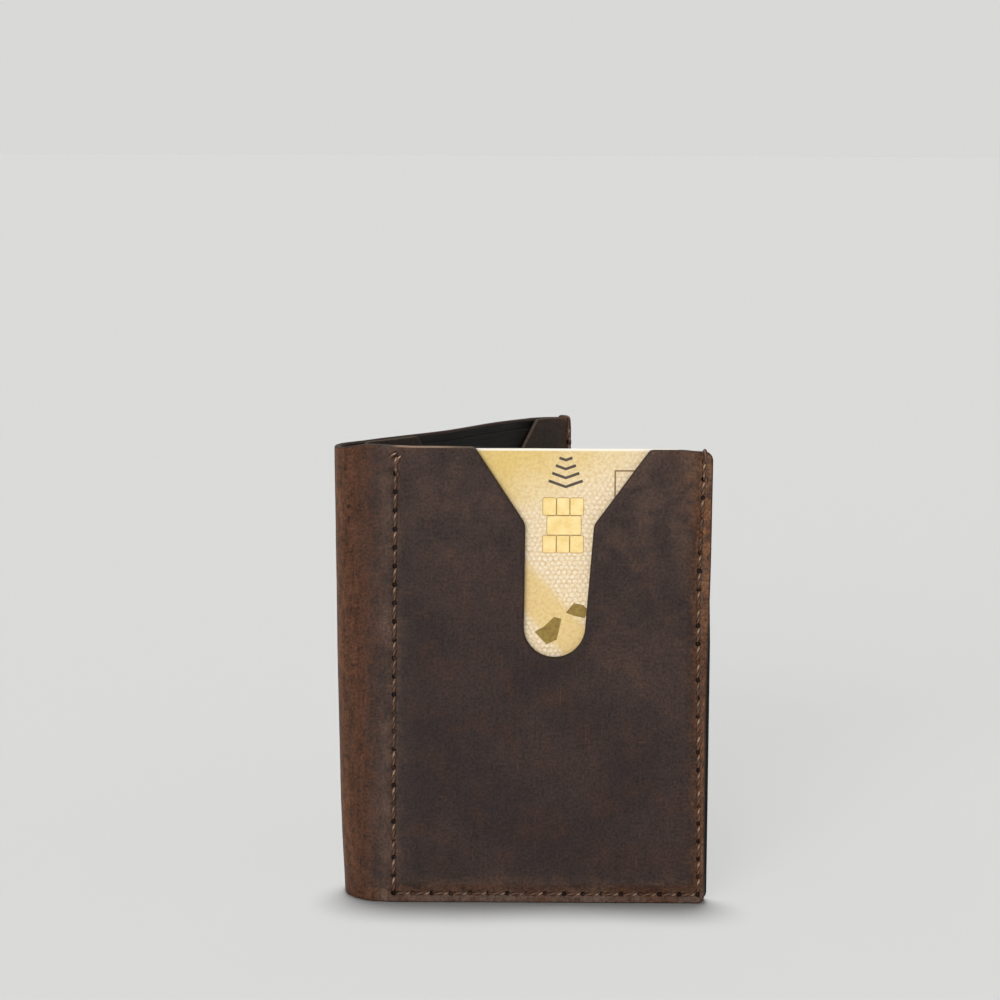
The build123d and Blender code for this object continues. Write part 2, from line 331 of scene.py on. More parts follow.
def triangles_within(loop, across, up):
    """A triangle mesh that fills a loop, with the points of a grid inside it."""
    grid = np.stack(np.meshgrid(across, up), -1).reshape(-1, 2)
    grid = grid[inside(grid, loop)]
    far = np.ones(len(grid), bool)
    for place in loop:
        far &= ((grid - place) ** 2).sum(1) > CLEARANCE**2
    points = np.concatenate([loop, grid[far]])
    edges = [(i, (i + 1) % len(loop)) for i in range(len(loop))]
    scaled = [Vector(p) for p in points / MM]
    made, _, faces, *_ = geometry.delaunay_2d_cdt(scaled, edges, [], 1, 1e-6)
    if len(made) != len(points):
        raise RuntimeError("the outline crosses itself")
    return np.array([tuple(v) for v in made]) * MM, [tuple(f) for f in faces]


# -------- making pieces
def placed(name, data):
    """A new object in the scene."""
    made = bpy.data.objects.new(name, data)
    bpy.context.scene.collection.objects.link(made)
    return made


def make_piece(name, verts, faces, uv, shades=None):
    """A smooth-shaded mesh; uv is each vertex's place on the developed wallet, in units of 100 mm."""
    mesh = bpy.data.meshes.new(name)
    mesh.from_pydata([tuple(v) for v in verts], [], faces)
    layer = mesh.uv_layers.new(name="Developed")
    corners = np.zeros(len(mesh.loops), np.int32)
    mesh.loops.foreach_get("vertex_index", corners)
    layer.data.foreach_set("uv", (np.asarray(uv)[corners] / 0.1).astype(np.float32).ravel())
    for key, values in (shades or {}).items():
        mesh.attributes.new(key, "FLOAT", "POINT").data.foreach_set("value", values.astype(np.float32))
    mesh.polygons.foreach_set("use_smooth", np.ones(len(mesh.polygons), bool))
    mesh.update()
    return placed(name, mesh)


def strips(rows, closed=True):
    """Four-sided faces between each row of points and the next."""
    count = len(rows[0])
    return [(low[i], high[i], high[(i + 1) % count], low[(i + 1) % count])
            for low, high in zip(rows, rows[1:]) for i in range(count if closed else count - 1)]


def sheet_piece(name, side, path_of, bottom_depth, top_depth, round_over, relief, across, up,
                shades=None, joins=False, sealed=False):
    """A sheet of the developed wallet between two depths, with rounded edges.

    path_of(shrink) is its edge, drawn in by shrink. A sheet that joins the other half's at the spine's
    middle has no rounded edge there, and sealed closes it where they meet.
    """
    path = path_of(round_over)
    count = len(path)
    (left, foot), (_, head) = path[0], path[-1]
    closing = [(left, z) for z in up[::-1] if foot + 0.1 * MM < z < head - 0.1 * MM]
    loop = np.concatenate([path, closing])
    plan, faces = triangles_within(loop, across, up)
    ring = list(range(count if joins else len(loop)))
    if joins:
        out = to_the_right(np.gradient(path, axis=0))
        out[0], out[-1] = (0, -1), (0, 1)
    else:
        out = closed_outside(loop)
    total = len(plan)
    thick = top_depth - bottom_depth
    turn = min(round_over, thick / 2)
    profile = [(round_over * sin(a), turn * (1 - cos(a))) for a in (pi / 6, pi / 3, pi / 2)]
    profile += [(reach, thick - deep) for reach, deep in reversed(profile)]
    flat = np.concatenate([plan] + [plan[ring] + out * reach for reach, _ in profile] + [plan])
    within = np.concatenate([plan] + [plan[ring]] * len(profile) + [plan])
    middle = np.repeat([deep for _, deep in profile], len(ring))
    depth = bottom_depth + np.concatenate([np.zeros(total), middle, np.full(total, thick)])
    rise, creep = relief(side, within[:, 0], within[:, 1])
    verts = lay(side, flat[:, 0] + creep, flat[:, 1], depth - rise)
    inner = total + len(profile) * len(ring)
    outer_faces = [f if side == FRONT else f[::-1] for f in faces]
    inner_faces = [tuple(i + inner for i in f[::-1]) for f in outer_faces]
    rows = [ring, *np.arange(total, inner).reshape(len(profile), -1).tolist(), [inner + i for i in ring]]
    band = strips(rows, not joins)
    run = [count - 1, *range(count, len(loop)), 0] if sealed else []
    band += [(a, a + inner, b + inner, b) for a, b in zip(run, run[1:])]
    if side == BACK:
        band = [quad[::-1] for quad in band]
    cut = np.zeros(len(flat))
    cut[total:inner] = 1
    attributes = {"cut": cut}
    for key, function in (shades or {}).items():
        attributes[key] = function(side, flat[:, 0], flat[:, 1])
    signed = np.stack([side * flat[:, 0], flat[:, 1]], 1)
    return make_piece(name, verts, outer_faces + band + inner_faces, signed, attributes)


# -------- leather cover
def warmth(side, s, z):
    """Where pull-up leather has been bent or rubbed, and its redder colour shows."""
    x = s - ARC
    spine = ramp(x - SPINE_SEAM, 1.8, -1.6) * (0.42 + 0.58 * ramp(x, 2, -6))
    edge = ramp(x - EDGE_SEAM, -2.5, 3)
    foot = 0.9 * ramp(z, 6, -4.5)
    head = 0.45 * ramp(z - HEIGHT, -2.5, 2.5)
    return np.maximum.reduce([spine, edge, foot, head])


def rubbed(side, s, z):
    """Corners and edges that are worn to a lighter orange brown."""
    x = s - ARC
    edge = near(x - PANEL, 2.8) * (0.55 + 1.05 * ramp(z, 50, 45))
    fold = 0.62 * near(side * s + 0.5 * MM, 5) * (0.8 + 0.4 * wave_height(SWELLS, 3 * s, 2 * z))
    corner = 1.3 * near(x - PANEL, 5) * near(z - HEIGHT, 18)
    foot = 0.20 * near(z, 4.5) * ramp(s, 2, 6)
    return np.clip(np.maximum.reduce([edge, fold, corner, foot]), 0, 1)


def pale_tone_and_highlight(side, s, z):
    """Where the leather is painted paler: towards the top and the front's free edge, at the foot and along
    the seams, with a painted highlight just left of the spine seam.
    """
    x = s - ARC
    if side == FRONT:
        top = (0.55 + 0.45 * ramp(x, 25, 40)) * ramp(x, 3, 5) * ramp(z, 56, 40)
        top = np.maximum(top, 0.36 * ramp(x, 40, 16) * ramp(z, 25, 30))
    else:
        top = 0.3 * ramp(z, 60, 40)
    foot = 2.3 * near(z, 4) * ramp(x, 0, 3)
    # the band 1.2 mm left of the spine seam is a painted highlight on the bulging leather there; the band
    # on the edge seam is only a paler tone
    rows = np.maximum(1.2 * near(x - SPINE_SEAM + 1.2 * MM, 2.8), 0.9 * near(x - EDGE_SEAM, 2))
    return np.maximum.reduce([top, foot, rows])


def bare_edge(side, s, z):
    """How pale the raw cut edge is: burnished dark, but for the front's top edge near the spine."""
    if side == BACK:
        return BURNISHED + 0 * s
    x = s - ARC
    run = ramp(x, 3, 3) * (0.25 + 0.75 * ramp(x, 20, -6)) * ramp(x, 28, -6)
    return BURNISHED + 0.9 * ramp(z - HEIGHT, -0.9, 0.4) * run


BURNISHED, LEAF_EDGE = 0.08, 0.4  # how pale a cut edge is, from 0 to 1
STITCH_FINE = [f * MM for f in (0, 0.25, 0.5, 0.8, 1.2)]
ROUND_OVER = 0.42 * MM
cover_across = lines(0, FREE_EDGE, 0.75 * MM, (ARC + SPINE_SEAM, ARC + EDGE_SEAM), STITCH_FINE)
cover_up = lines(ROUND_OVER, HEIGHT - ROUND_OVER, 0.5 * MM, (BOTTOM_SEAM,), STITCH_FINE[:4])
cover_shades = {"warm": warmth, "rubbed": rubbed, "pale_tone_and_highlight": pale_tone_and_highlight, "bare": bare_edge}
leaf_shades = {"warm": warmth, "rubbed": rubbed, "bare": lambda side, s, z: LEAF_EDGE + 0 * s}


def cover_half(name, side, cut=None):
    def edge(shrink):
        return panel_path(0, FREE_EDGE, 0, HEIGHT, shrink, cut)

    return sheet_piece(name, side, edge, 0, LEATHER, ROUND_OVER, cover_relief, cover_across, cover_up,
                       cover_shades, joins=True)


cover_front = cover_half("leather_cover_front", FRONT, (CUT_CENTRE, MOUTH, CUT_LEAN))
cover_back = cover_half("leather_cover_back", BACK)
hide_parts("front_cover", "spine_cover")
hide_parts("back_cover")


# -------- inner leaves and linings
TRIM = 0.3 * MM  # how far the inner layers stop short of the cover's edges
THIN = 0.15 * MM  # the rounding of a lining's edges


def flat_layer(name, side, depth, thick, right, top, round_over, relief, step, cut=None, shades=None):
    """A layer sewn into one panel, from just outside the spine seam to the free edge."""
    def edge(shrink):
        return panel_path(FOLD_EDGE + shrink, ARC + right, TRIM, top, shrink, cut)

    across = lines(FOLD_EDGE + round_over, ARC + right, step)
    up = lines(TRIM + round_over, top - round_over, step)
    return sheet_piece(name, side, edge, depth, depth + thick, round_over, relief, across, up, shades)


def lining_layer(name, side, depth, top):
    return flat_layer(name, side, depth, LINING, LAYER_RIGHT, top, THIN, plain_relief, 2 * MM)


def leather_leaf(name, side, depth, right, top, step, cut=None):
    return flat_layer(name, side, depth, LEAF, right, top, 0.3 * MM, leaf_relief, step, cut, leaf_shades)


LAYER_RIGHT = PANEL - TRIM
LAYER_TOP = HEIGHT - TRIM
LEAF_DEPTH = LEATHER + 2 * LINING  # of the first leather leaf in either half
UPPER_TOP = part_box("front_upper_slot")[1].z
LOWER_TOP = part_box("front_lower_slot")[1].z
NOTE_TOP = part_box("note_pocket_wall")[1].z


def lipped_edge(shrink):
    """The pocket lining's edge, which shows where the leather draws back from it lower down."""
    left, right, top = FOLD_EDGE + shrink, ARC + PANEL - 0.05 * MM - shrink, LAYER_TOP - shrink
    back = right - 0.4 * MM
    low = TRIM + shrink
    points = [(left, low), (right, low), (right, 58 * MM), (back, 76 * MM), (back, top), (left, top)]
    return bend(points, [CORNER, 30 * MM, 30 * MM, CORNER])


pocket_lining = sheet_piece(
    "pocket_lining", FRONT, lipped_edge, LEATHER, LEATHER + LINING, THIN, plain_relief,
    lines(FOLD_EDGE + THIN, ARC + PANEL, 2 * MM), lines(0.5 * MM, LAYER_TOP, 2 * MM))
slot_backing = lining_layer("slot_backing", FRONT, LEATHER + LINING, LAYER_TOP)
upper_slot = leather_leaf("card_slot_upper", FRONT, LEAF_DEPTH, LAYER_RIGHT, UPPER_TOP, 1.0 * MM)
lower_slot = leather_leaf("card_slot_lower", FRONT, LEAF_DEPTH + LEAF, LAYER_RIGHT, LOWER_TOP, 1.0 * MM)
back_lining = lining_layer("back_panel_lining", BACK, LEATHER, LAYER_TOP)
note_wall = lining_layer("note_pocket_cloth", BACK, LEATHER + LINING, NOTE_TOP)
back_leaf = leather_leaf("back_pocket_leather", BACK, LEAF_DEPTH, PANEL - 1.1 * MM, HEIGHT, 0.9 * MM,
                         (LEAF_CUT_CENTRE, LEAF_MOUTH, 0))
for layer, node, body in (
        (pocket_lining, "front_pocket_lining", "front_half"),
        (slot_backing, "front_slot_backing", "front_half"),
        (upper_slot, "front_upper_slot", "front_half"),
        (lower_slot, "front_lower_slot", "front_half"),
        (back_lining, "back_lining", "back_half"),
        (note_wall, "note_pocket_wall", "back_half"),
        (back_leaf, "back_pocket_leaf", "back_half")):
    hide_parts(node)
    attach(layer, body)


def fold_relief(side, s, z):
    """The lining gathers into small level puckers where it crosses the fold."""
    pucker = np.sin(z / (2.1 * MM) + 1.5 * np.sin(z / (9 * MM)) + 40 * s)
    return spine_lean(s, z) - 0.10 * MM * (1 + pucker) * smooth(1 - s / FOLD_EDGE), 0 * s


def fold_lining(name, side):
    def edge(shrink):
        right, low, top = FOLD_EDGE - 0.05 * MM - shrink, TRIM + shrink, LAYER_TOP - shrink
        return bend([(0, low), (right, low), (right, top), (0, top)], [0.0, 0.0])

    return sheet_piece(name, side, edge, LEATHER, LEATHER + LINING, THIN, fold_relief,
                       lines(0, FOLD_EDGE, 0.7 * MM), lines(0.5 * MM, LAYER_TOP, 0.5 * MM),
                       joins=True, sealed=True)


fold_front, fold_back = (fold_lining("fold_lining_" + word, side) for side, word in SIDES)
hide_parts("spine_lining")
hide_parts("spine_lining")


# -------- sewing thread
THREAD = 0.36 * MM  # radius
STITCH = 3.1 * MM
SLANT, UNEVEN = 0.07, 0.02  # radians: how far stitches tilt, and how much that varies
BOW, LOCK_BOW = 0.12 * MM, 0.30 * MM  # how far a stitch's middle stands out
TWIST = 0.75  # radians that the plies turn from one ring to the next
ROUND = 12
# WRAP_SHADE is the place along a stitch given to the whole edge wrap, which sets how much of the thread's
# painted highlight it gets
WRAP_STEPS, WRAP_SHADE = 25, 0.6


def tube(centres, sideways, outward):
    """Rings of points round a path, three plies twisted together, with closed ends.

    The third result holds, for each point, how far it stands out on a ply and its place along the path.
    """
    angle = np.linspace(0, 2 * pi, ROUND, endpoint=False)
    rings, shades = [], []
    for k, (centre, wide, high) in enumerate(zip(centres, sideways, outward)):
        ply = np.cos(3 * angle + TWIST * k)
        size = THREAD * (1 + 0.10 * ply)
        aside, above = np.cos(angle) * size * 1.1, np.sin(angle) * size
        rings.append(centre + np.outer(aside, wide) + np.outer(above, high))
        shades.append(np.column_stack([ply, np.full(ROUND, k / (len(centres) - 1))]))
    rows = np.arange(len(rings) * ROUND).reshape(-1, ROUND).tolist()
    faces = [(a, d, c, b) for a, b, c, d in strips(rows)]
    faces += [tuple(rows[0][::-1]), tuple(rows[-1])]
    return np.concatenate(rings), faces, np.concatenate(shades)


def depth_at(side, inner, z):
    """Depth of a panel's outer or inner surface. The front's inner one steps down at each card slot."""
    if not inner:
        return 0.0
    leaves = sum(z < top + STITCH / 2 for top in (UPPER_TOP, LOWER_TOP)) if side == FRONT else 1
    return LEAF_DEPTH + LEAF * leaves


def stitch(side, inner, x, z, upright, length, slant, rise=BOW):
    """One bowed stitch whose ends dive into their holes."""
    way, relief = (1, leaf_relief) if inner else (-1, cover_relief)
    share = np.linspace(-1, 1, 13)
    run = share * length / 2
    aside, ahead = run * sin(slant), run * cos(slant)
    s, up = (ARC + x + aside, z + ahead) if upright else (ARC + x + ahead, z + aside)
    base, creep = relief(side, np.array([ARC + x]), np.array([z]))
    lift = rise * (1 - share**2) - 0.55 * MM * np.abs(share) ** 7
    centres = lay(side, s + creep[0], up, depth_at(side, inner, z) + way * lift - base[0])
    out, along = directions(side, s)
    across = along if upright else np.tile([0.0, 0.0, 1.0], (len(share), 1))
    return tube(centres, across, -way * out)


def edge_wrap(side):
    """The free edge's last stitch, passed over the panel's top edge."""
    angle = np.linspace(-0.25 * pi, 1.25 * pi, WRAP_STEPS)
    across, up = (np.sign(swing) * np.abs(swing) ** 0.45 for swing in (np.cos(angle), np.sin(angle)))
    place = ARC + EDGE_SEAM + 0.15 * MM
    base, creep = cover_relief(side, np.array([place]), np.array([HEIGHT - 2 * MM]))
    middle = depth_at(side, True, HEIGHT) / 2
    depths = middle - base[0] / 2 - (middle + 0.10 * MM + base[0] / 2) * across
    place = np.full(WRAP_STEPS, place + creep[0])
    centres = lay(side, place, HEIGHT - 1.4 * MM + 1.52 * MM * up, depths)
    _, along = directions(side, place)
    ahead = unit(np.gradient(centres, axis=0))
    points, faces, shade = tube(centres, along, np.cross(ahead, along))
    # the whole wrap gets the same small share of the painted highlight
    shade[:, 1] = WRAP_SHADE
    return points, faces, shade


def merged(parts):
    """The points and the faces of several parts, as one mesh's."""
    faces, base = [], 0
    for points, part_faces, *_ in parts:
        faces += [tuple(i + base for i in face) for face in part_faces]
        base += len(points)
    return np.concatenate([part[0] for part in parts]), faces


def thread_piece(name, parts):
    verts, faces = merged(parts)
    ply, along = np.concatenate([part[2] for part in parts]).T
    return make_piece(name, verts, faces, verts[:, [0, 2]], {"ply": ply, "along": along})


# the stitches that lock each side seam at its top: height, distance aside and tilt
LOCKING = ((94.4 * MM, 0.3 * MM, -0.25), (96.9 * MM, 0.5 * MM, 0.50), (97.7 * MM, -0.9 * MM, 0.85))


def seam(name, side, inner):
    """Both side seams, then along the bottom, with locking stitches at the tops of the side seams."""
    parts = []
    for x, locks in ((SPINE_SEAM, LOCKING), (EDGE_SEAM, LOCKING[:1])):
        for low in RISES[:-1]:
            tilt = SLANT + random.normal(0, UNEVEN)
            length = STITCH * (1 + random.normal(0, UNEVEN))
            parts.append(stitch(side, inner, x, low + PITCH / 2 - 0.05 * MM, True, length, tilt))
        for z, aside, tilt in locks:
            parts.append(stitch(side, inner, x + aside, z, True, STITCH * 0.8, tilt, LOCK_BOW))
    for x in (RUNS[:-1] + RUNS[1:]) / 2:
        tilt = SLANT + random.normal(0, UNEVEN)
        parts.append(stitch(side, inner, x, BOTTOM_SEAM, False, STITCH, tilt))
    return thread_piece(name, parts)


threads = [(seam(f"thread_{word}_{face}", side, face == "inner"), word, face)
           for side, word in SIDES for face in ("outer", "inner")]
threads += [(thread_piece(f"thread_{word}_ends", [edge_wrap(side)]), word, "outer")
            for side, word in SIDES]
for piece, word, face in threads:
    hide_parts(f"{word}_{face}_thread")
    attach(piece, word + "_half")


# -------- payment card
def plate(outline, front, thick, soften):
    """A flat plate facing the viewer's side (-Y), from an anticlockwise outline of x and z."""
    outline = np.asarray(outline, float)
    out = closed_outside(outline)
    rings = [(soften * (1 - sin(a)), soften * (1 - cos(a))) for a in (0, pi / 4, pi / 2)]
    rings += [(inset, thick - depth) for inset, depth in reversed(rings)]
    verts = [np.insert(outline - out * inset, 1, front + depth, axis=1) for inset, depth in rings]
    rows = np.arange(len(rings) * len(outline)).reshape(len(rings), -1).tolist()
    return np.concatenate(verts), [tuple(rows[0]), *strips(rows), tuple(rows[-1][::-1])]


def plates(name, outlines, front, thick, soften):
    """Flat-shaded plates, all of one piece."""
    verts, faces = merged([plate(outline, front, thick, soften) for outline in outlines])
    piece = make_piece(name, verts, faces, verts[:, [0, 2]])
    piece.data.polygons.foreach_set("use_smooth", np.zeros(len(piece.data.polygons), bool))
    return piece


def rounded(x0, x1, z0, z1, radius, step=0.3 * MM):
    """An anticlockwise rectangle with round corners."""
    turns = max(2, round(radius * pi / 2 / step))
    points = []
    for cx, cz, start in ((x1 - radius, z0 + radius, -pi / 2), (x1 - radius, z1 - radius, 0.0),
                          (x0 + radius, z1 - radius, pi / 2), (x0 + radius, z0 + radius, pi)):
        angles = [start + pi / 2 * i / turns for i in range(turns + 1)]
        points += [(cx + radius * cos(a), cz + radius * sin(a)) for a in angles]
    return points


CARD_FRONT = card_low.y
CARD_MIDDLE = (card_low.x + card_high.x) / 2
MARK_X = CARD_MIDDLE + 0.5 * MM
CARD_CORNER = 3.18 * MM
PRINT, PRINT_EDGE = 0.02 * MM, 0.004 * MM  # how far the print stands out of the card, and its rounding
CHIP_GAP, CHIP_CORNER = 0.22 * MM, 0.35 * MM
card_body = plates("card_body", [rounded(card_low.x, card_high.x, card_low.z, card_high.z, CARD_CORNER)],
                   CARD_FRONT, card_high.y - CARD_FRONT, 0.08 * MM)
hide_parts("payment_card")


def chip_cells():
    """Seven contact plates: three above, one wide one, three below, with fine gaps between them."""
    wide, tall = chip_high.x - chip_low.x, chip_high.z - chip_low.z
    row = tall * 0.31
    spans = []
    for low, high in ((chip_high.z - row, chip_high.z), (chip_low.z, chip_low.z + row)):
        for i in range(3):
            left = chip_low.x + wide * i / 3 + (CHIP_GAP / 2 if i else 0)
            right = chip_low.x + wide * (i + 1) / 3 - (CHIP_GAP / 2 if i < 2 else 0)
            spans.append((left, right, low, high))
    spans.append((chip_low.x + 0.9 * MM, chip_high.x - 0.5 * MM, chip_low.z + row + CHIP_GAP,
                  chip_high.z - row - CHIP_GAP))
    return [rounded(*span, CHIP_CORNER, 0.12 * MM) for span in spans]


def grown(outline, by):
    """An anticlockwise outline moved outwards."""
    outline = np.asarray(outline)
    return outline + closed_outside(outline) * by


chip = plates("chip_contacts", chip_cells(), CARD_FRONT - 0.03 * MM, 0.13 * MM, 0.02 * MM)
chip_lines = plates("chip_outlines", [grown(cell, 0.16 * MM) for cell in chip_cells()],
                    CARD_FRONT - 0.015 * MM, 0.1 * MM, PRINT_EDGE)
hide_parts("card_chip")
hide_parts("card_chip")


def stroke(points, width):
    """An anticlockwise outline round a bent line of constant width."""
    line = np.array(points, float)
    aside = to_the_right(np.gradient(line, axis=0)) * width / 2
    return np.concatenate([line + aside, (line - aside)[::-1]])


def chevrons():
    """A plain stack of chevrons, pointing down and widening downwards."""
    made = []
    for i in range(4):
        half, z = (1.4 + 0.75 * i) * MM, card_high.z - (1.9 + 1.65 * i) * MM
        line = [(MARK_X + share * half, z - 0.36 * half * (1 - abs(share)))
                for share in (-1, -0.5, 0, 0.5, 1)]
        made.append(stroke(line, 0.60 * MM))
    return made


def facets():
    """Plain dark gold facets near the foot of the thumb slot."""
    x, z = CARD_MIDDLE, card_high.z
    shapes = [
        [(-6.0, -39.7), (-3.4, -42.5), (-1.2, -41.4), (-0.2, -36.9), (-1.8, -36.4), (-4.0, -38.6)],
        [(0.7, -35.5), (2.2, -36.1), (4.8, -36.7), (5.6, -34.9), (4.4, -33.8), (2.4, -33.4)],
    ]
    return [[(x + a * MM, z + b * MM) for a, b in shape] for shape in shapes]


def empty_frame():
    """A thin outlined box, half hidden behind the leather."""
    left, right = CARD_MIDDLE + 10.9 * MM, CARD_MIDDLE + 22 * MM
    top, bottom, line = card_high.z - 4.5 * MM, card_high.z - 19 * MM, 0.34 * MM
    return [[(left, top - line), (right, top - line), (right, top), (left, top)],
            [(left, bottom), (left + line, bottom), (left + line, top - line), (left, top - line)]]


dark_print, gold_print, line_print = (
    plates(name, outlines, CARD_FRONT - PRINT, PRINT * 1.5, PRINT_EDGE) for name, outlines in (
        ("card_chevrons", chevrons()), ("card_facets", facets()), ("card_outline_box", empty_frame())))
for piece in (card_body, chip, chip_lines, dark_print, gold_print, line_print):
    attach(piece, "card")


# -------- building materials from nodes
class Signal:
    """A node's output, which can be added to, scaled and so on like a number."""

    def __init__(self, graph, socket):
        self.graph, self.socket = graph, socket

    def __add__(self, other):
        return self.graph.math("ADD", self, other)

    __radd__ = __add__

    def __sub__(self, other):
        return self.graph.math("SUBTRACT", self, other)

    def __rsub__(self, other):
        return self.graph.math("SUBTRACT", other, self)

    def __mul__(self, other):
        return self.graph.math("MULTIPLY", self, other)

    def __truediv__(self, other):
        return self.graph.math("DIVIDE", self, other)


class Graph:
    """A node tree with short calls that add a node and return its output."""

    def __init__(self, tree):
        self.tree = tree

    def wire(self, socket, value):
        if isinstance(value, Signal):
            self.tree.links.new(value.socket, socket)
        else:
            socket.default_value = value

    def node(self, kind, *inputs, out=0, sockets=None, **settings):
        """A node from its settings and its inputs, in order or by their place in sockets."""
        made = self.tree.nodes.new("ShaderNode" + kind)
        for key, value in settings.items():
            setattr(made, key, value)
        for place, value in [*enumerate(inputs), *(sockets or {}).items()]:
            self.wire(made.inputs[place], value)
        return Signal(self, made.outputs[out])

    def math(self, operation, *inputs):
        return self.node("Math", *inputs, operation=operation)

    def distance(self, a, b):
        return self.math("SQRT", a * a + b * b)

    def clamped(self, value, low, high):
        """value moved onto 0 to 1 between low and high, smoothly."""
        return self.node("MapRange", value, low, high, 0.0, 1.0, interpolation_type="SMOOTHSTEP")

    def mix(self, factor, a, b, blend="MIX"):
        return self.node("Mix", out=2, sockets={0: factor, 6: a, 7: b}, data_type="RGBA", blend_type=blend)

    def attribute(self, name):
        return self.node("Attribute", attribute_name=name, out=2)

    def millimetres(self):
        """The place on the developed wallet, in millimetres."""
        uv = self.node("UVMap", uv_map="Developed")
        return self.node("VectorMath", uv, sockets={"Scale": 100.0}, operation="SCALE")

    def stretched(self, vector, x, y):
        return self.node("VectorMath", vector, (x, y, 1.0), operation="MULTIPLY")

    def noise(self, vector, size, detail=3.0, rough=0.55, distortion=0.0):
        """Noise whose features are about size millimetres."""
        return self.node("TexNoise", sockets={"Vector": vector, "Scale": 1 / size, "Detail": detail,
                                              "Roughness": rough, "Distortion": distortion})

    def cells(self, vector, size, feature="F1"):
        return self.node("TexVoronoi", sockets={"Vector": vector, "Scale": 1 / size}, feature=feature)

    def parts(self, vector):
        """A vector's first two parts."""
        return [self.node("SeparateXYZ", vector, out=axis) for axis in (0, 1)]


class Recipe(Graph):
    """One procedural material."""

    def __init__(self, name):
        self.material = bpy.data.materials.new(name)
        self.material.use_nodes = True
        super().__init__(self.material.node_tree)
        self.tree.nodes.clear()
        self.shader = self.tree.nodes.new("ShaderNodeBsdfPrincipled")
        output = self.tree.nodes.new("ShaderNodeOutputMaterial")
        self.tree.links.new(self.shader.outputs[0], output.inputs["Surface"])

    def set(self, **values):
        for key, value in values.items():
            self.wire(self.shader.inputs[key.replace("_", " ")], value)

    def bump(self, height, strength):
        """A bump from a height in millimetres."""
        sockets = {"Strength": strength, "Distance": MM, "Height": height}
        self.set(Normal=self.node("Bump", sockets=sockets))


def colour(red, green, blue):
    """A colour given as it looks on screen, from 0 to 255."""
    def linear(v):
        v /= 255
        return v / 12.92 if v <= 0.04045 else ((v + 0.055) / 1.055) ** 2.4
    return (linear(red), linear(green), linear(blue), 1.0)


# -------- leather
def needle_holes(r, across, up):
    """1 in the needle holes of every seam, each a little longer than wide."""
    holes = 0.0
    for aside, along, stops in ((across - (ARC + SPINE_SEAM) / MM, up, RISES),
                                (across - (ARC + EDGE_SEAM) / MM, up, RISES),
                                (up - BOTTOM_SEAM / MM, across, ARC + RUNS)):
        low, pitch, high = stops[0] / MM, (stops[1] - stops[0]) / MM, stops[-1] / MM
        off = r.math("PINGPONG", (along - low) / pitch, 0.5) * (0.85 * pitch)
        hole = 1.0 - r.clamped(r.distance(aside, off), 0.28, 0.60)
        hole = hole * r.math("GREATER_THAN", along, low - 0.7)
        hole = hole * r.math("LESS_THAN", along, high + 0.7)
        holes = r.math("MAXIMUM", holes, hole)
    return holes


# an old awl prick in the spine's leather and a scratch below it: height, width and length, millimetres
PRICK_ACROSS = 4.3
PRICKS = ((87.0, 0.75, 0.75), (84.2, 0.40, 1.3))


def pricks(r, across, up):
    marks = 0.0
    for low, wide, tall in PRICKS:
        far = r.distance((across - PRICK_ACROSS) / wide, (up - low) / tall)
        marks = r.math("MAXIMUM", marks, 1.0 - r.clamped(far, 0.5, 1.0))
    return marks


